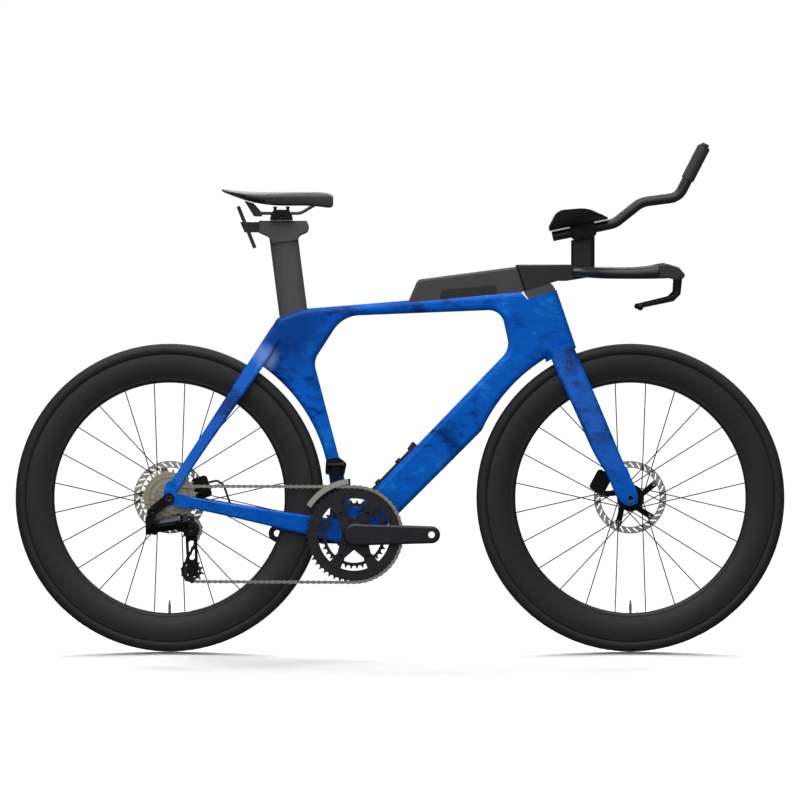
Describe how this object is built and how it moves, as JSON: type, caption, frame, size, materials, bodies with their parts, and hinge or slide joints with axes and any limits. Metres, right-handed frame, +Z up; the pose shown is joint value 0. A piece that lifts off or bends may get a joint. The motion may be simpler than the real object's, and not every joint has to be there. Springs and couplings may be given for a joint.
{
  "type": "time trial bike",
  "caption": "Road racing bicycle for time trials: deep aero frame and wheels, low base bar with raised forearm rests, disc brakes and a two-ring derailleur drivetrain.",
  "frame": {"origin": "on the ground, midway between the two axles and between the two sides", "axes": "+X towards the front wheel, +Y towards the rider's left, +Z up"},
  "size_m": [1.692, 0.439, 1.1203],
  "materials": {
    "blue_gloss_paint": "clouded blue paint under a gloss clear coat on moulded carbon",
    "dark_grey_carbon": "matte clear coat on moulded carbon",
    "grey_box_plastic": "moulded plastic with a fine matte grain",
    "charcoal_plastic": "moulded plastic, matte",
    "black_carbon": "matte clear coat on moulded carbon",
    "black_anodised": "machined or forged and black anodised",
    "saddle_cover": "stretched synthetic cover over foam",
    "armrest_foam": "closed-cell foam with a knit face",
    "rail_steel": "drawn and polished",
    "grip_rubber": "moulded rubber",
    "button_plastic": "moulded plastic",
    "tyre_rubber": "moulded tread and bare side walls",
    "spoke_steel": "drawn wire, blackened",
    "rotor_steel": "ground brake track on a dark carrier",
    "pad_compound": "pressed friction compound on a steel plate",
    "graphite_aluminium": "forged, dark anodised",
    "chain_steel": "stamped and nickel plated"
  },
  "bodies": {
    "frame": {"frame": "blue_gloss_paint", "seat_clamp_wedge": "dark_grey_carbon", "frame_bearings": "rail_steel", "headset_cover": "dark_grey_carbon", "top_tube_box": "grey_box_plastic", "top_tube_box_base": "charcoal_plastic", "bottle_rail": "charcoal_plastic", "derailleur_hanger": "black_anodised", "rear_thru_axle": "rail_steel", "rear_brake_caliper": "black_anodised", "rear_brake_hose": "grip_rubber", "front_derailleur_body": "black_anodised", "rear_derailleur_bracket": "black_anodised", "chain": "chain_steel"},
    "seatpost": {"seatpost": "dark_grey_carbon", "number_holder": "charcoal_plastic"},
    "saddle": {"saddle_clamp": "black_anodised", "saddle_rails": "rail_steel", "saddle": "saddle_cover"},
    "fork": {"fork": "blue_gloss_paint", "front_thru_axle": "rail_steel", "front_brake_caliper": "black_anodised", "base_bar": "black_carbon", "lever_brackets": "grip_rubber", "riser": "black_carbon", "extension_clamp": "black_anodised", "extensions": "black_carbon", "extension_grips": "grip_rubber", "armrest_cups": "black_carbon", "armrest_pads": "armrest_foam"},
    "front_wheel": {"front_tyre": "tyre_rubber", "front_rim": "black_carbon", "front_spokes": "spoke_steel", "front_hub": "black_anodised", "front_rotor": "rotor_steel"},
    "rear_wheel": {"rear_tyre": "tyre_rubber", "rear_rim": "black_carbon", "rear_spokes": "spoke_steel", "rear_hub": "black_anodised", "rear_rotor": "rotor_steel"},
    "crankset": {"right_crank_arm": "graphite_aluminium", "left_crank_arm": "graphite_aluminium", "outer_chainring": "graphite_aluminium", "inner_chainring": "graphite_aluminium"},
    "cassette": {"cassette": "chain_steel"},
    "derailleur_outer_link": {"rear_derailleur_outer_link": "black_anodised"},
    "derailleur_inner_link": {"rear_derailleur_inner_link": "black_anodised"},
    "derailleur_knuckle": {"rear_derailleur_knuckle": "black_anodised"},
    "derailleur_cage": {"rear_derailleur_cage": "black_anodised"},
    "guide_pulley": {"guide_pulley": "button_plastic"},
    "tension_pulley": {"tension_pulley": "button_plastic"},
    "front_derailleur_cage": {"front_derailleur_cage": "black_anodised"},
    "left_brake_lever": {"left_brake_lever": "black_anodised"},
    "right_brake_lever": {"right_brake_lever": "black_anodised"},
    "left_shift_button": {"left_shift_button": "button_plastic"},
    "right_shift_button": {"right_shift_button": "button_plastic"},
    "front_inner_brake_pad": {"front_inner_brake_pad": "pad_compound"},
    "front_outer_brake_pad": {"front_outer_brake_pad": "pad_compound"},
    "rear_inner_brake_pad": {"rear_inner_brake_pad": "pad_compound"},
    "rear_outer_brake_pad": {"rear_outer_brake_pad": "pad_compound"}
  },
  "joints": [
    {"name": "steering", "type": "hinge", "parent": "frame", "child": "fork", "pos_m": [0.46408, 0, 0.32547], "axis": [-0.3007, 0, 0.9537], "range_deg": [-50, 50]},
    {"name": "front_wheel_spin", "type": "hinge", "parent": "fork", "child": "front_wheel", "pos_m": [0.507, 0, 0.339], "axis": [0, 1, 0], "continuous": true},
    {"name": "rear_wheel_spin", "type": "hinge", "parent": "frame", "child": "rear_wheel", "pos_m": [-0.507, 0, 0.339], "axis": [0, 1, 0], "continuous": true},
    {"name": "crank_spin", "type": "hinge", "parent": "frame", "child": "crankset", "pos_m": [-0.1008, 0, 0.259], "axis": [0, 1, 0], "continuous": true, "deforming": ["chain"]},
    {"name": "cassette_spin", "type": "hinge", "parent": "frame", "child": "cassette", "pos_m": [-0.507, 0, 0.339], "axis": [0, 1, 0], "continuous": true},
    {"name": "rear_shift", "type": "hinge", "parent": "frame", "child": "derailleur_outer_link", "pos_m": [-0.5388, -0.0775, 0.28399], "axis": [0, 0.7314, 0.682], "range_deg": [-11.5, 52.5]},
    {"name": "inner_link_swing", "type": "hinge", "parent": "frame", "child": "derailleur_inner_link", "pos_m": [-0.5388, -0.06659, 0.27229], "axis": [0, 0.7314, 0.682], "range_deg": [-12, 53]},
    {"name": "knuckle_swing", "type": "hinge", "parent": "derailleur_outer_link", "child": "derailleur_knuckle", "pos_m": [-0.485, -0.0853, 0.29235], "axis": [0, 0.7314, 0.682], "range_deg": [-53, 12]},
    {"name": "cage_swing", "type": "hinge", "parent": "derailleur_knuckle", "child": "derailleur_cage", "pos_m": [-0.459, -0.05584, 0.2715], "axis": [0, 1, 0], "range_deg": [-40, 40], "stiffness_Nm_per_rad": 0.8},
    {"name": "guide_pulley_spin", "type": "hinge", "parent": "derailleur_cage", "child": "guide_pulley", "pos_m": [-0.459, -0.05584, 0.2715], "axis": [0, 1, 0], "continuous": true},
    {"name": "tension_pulley_spin", "type": "hinge", "parent": "derailleur_cage", "child": "tension_pulley", "pos_m": [-0.45553, -0.05584, 0.17856], "axis": [0, 1, 0], "continuous": true},
    {"name": "front_shift", "type": "hinge", "parent": "frame", "child": "front_derailleur_cage", "pos_m": [-0.1408, -0.045, 0.411], "axis": [1, 0, 0], "range_deg": [0, 8.5]},
    {"name": "left_brake_pull", "type": "hinge", "parent": "fork", "child": "left_brake_lever", "pos_m": [0.61124, 0.203, 0.82602], "axis": [0, 1, 0], "range_deg": [0, 25], "stiffness_Nm_per_rad": 3, "springref_deg": -5.73},
    {"name": "right_brake_pull", "type": "hinge", "parent": "fork", "child": "right_brake_lever", "pos_m": [0.61124, -0.203, 0.82602], "axis": [0, 1, 0], "range_deg": [0, 25], "stiffness_Nm_per_rad": 3, "springref_deg": -5.73},
    {"name": "left_shift_press", "type": "slide", "parent": "fork", "child": "left_shift_button", "axis": [0.4567, 0, 0.8896], "range_m": [-0.0015, 0], "stiffness_N_per_m": 1500, "springref_m": 0.0005},
    {"name": "right_shift_press", "type": "slide", "parent": "fork", "child": "right_shift_button", "axis": [0.4567, 0, 0.8896], "range_m": [-0.0015, 0], "stiffness_N_per_m": 1500, "springref_m": 0.0005},
    {"name": "front_inner_pad_slide", "type": "slide", "parent": "fork", "child": "front_inner_brake_pad", "axis": [0, 1, 0], "range_m": [0, 0.0003]},
    {"name": "front_outer_pad_slide", "type": "slide", "parent": "fork", "child": "front_outer_brake_pad", "axis": [0, -1, 0], "range_m": [0, 0.0003]},
    {"name": "rear_inner_pad_slide", "type": "slide", "parent": "frame", "child": "rear_inner_brake_pad", "axis": [0, 1, 0], "range_m": [0, 0.0003]},
    {"name": "rear_outer_pad_slide", "type": "slide", "parent": "frame", "child": "rear_outer_brake_pad", "axis": [0, -1, 0], "range_m": [0, 0.0003]},
    {"name": "seatpost_height", "type": "slide", "parent": "frame", "child": "seatpost", "axis": [-0.1271, 0, 0.9919], "range_m": [-0.04, 0.03]},
    {"name": "saddle_setback", "type": "slide", "parent": "seatpost", "child": "saddle", "axis": [1, 0, 0], "range_m": [-0.012, 0.012]}
  ],
  "couplings": [
    {"joint": "cassette_spin", "follows": "crank_spin", "ratio": 4},
    {"joint": "guide_pulley_spin", "follows": "crank_spin", "ratio": -4.7273},
    {"joint": "tension_pulley_spin", "follows": "crank_spin", "ratio": 4.7273},
    {"joint": "inner_link_swing", "follows": "rear_shift", "ratio": 1},
    {"joint": "knuckle_swing", "follows": "rear_shift", "ratio": -1},
    {"joint": "front_inner_pad_slide", "follows": "left_brake_pull", "m_per_rad": 0.000687},
    {"joint": "front_outer_pad_slide", "follows": "left_brake_pull", "m_per_rad": 0.000687},
    {"joint": "rear_inner_pad_slide", "follows": "right_brake_pull", "m_per_rad": 0.000687},
    {"joint": "rear_outer_pad_slide", "follows": "right_brake_pull", "m_per_rad": 0.000687}
  ]
}
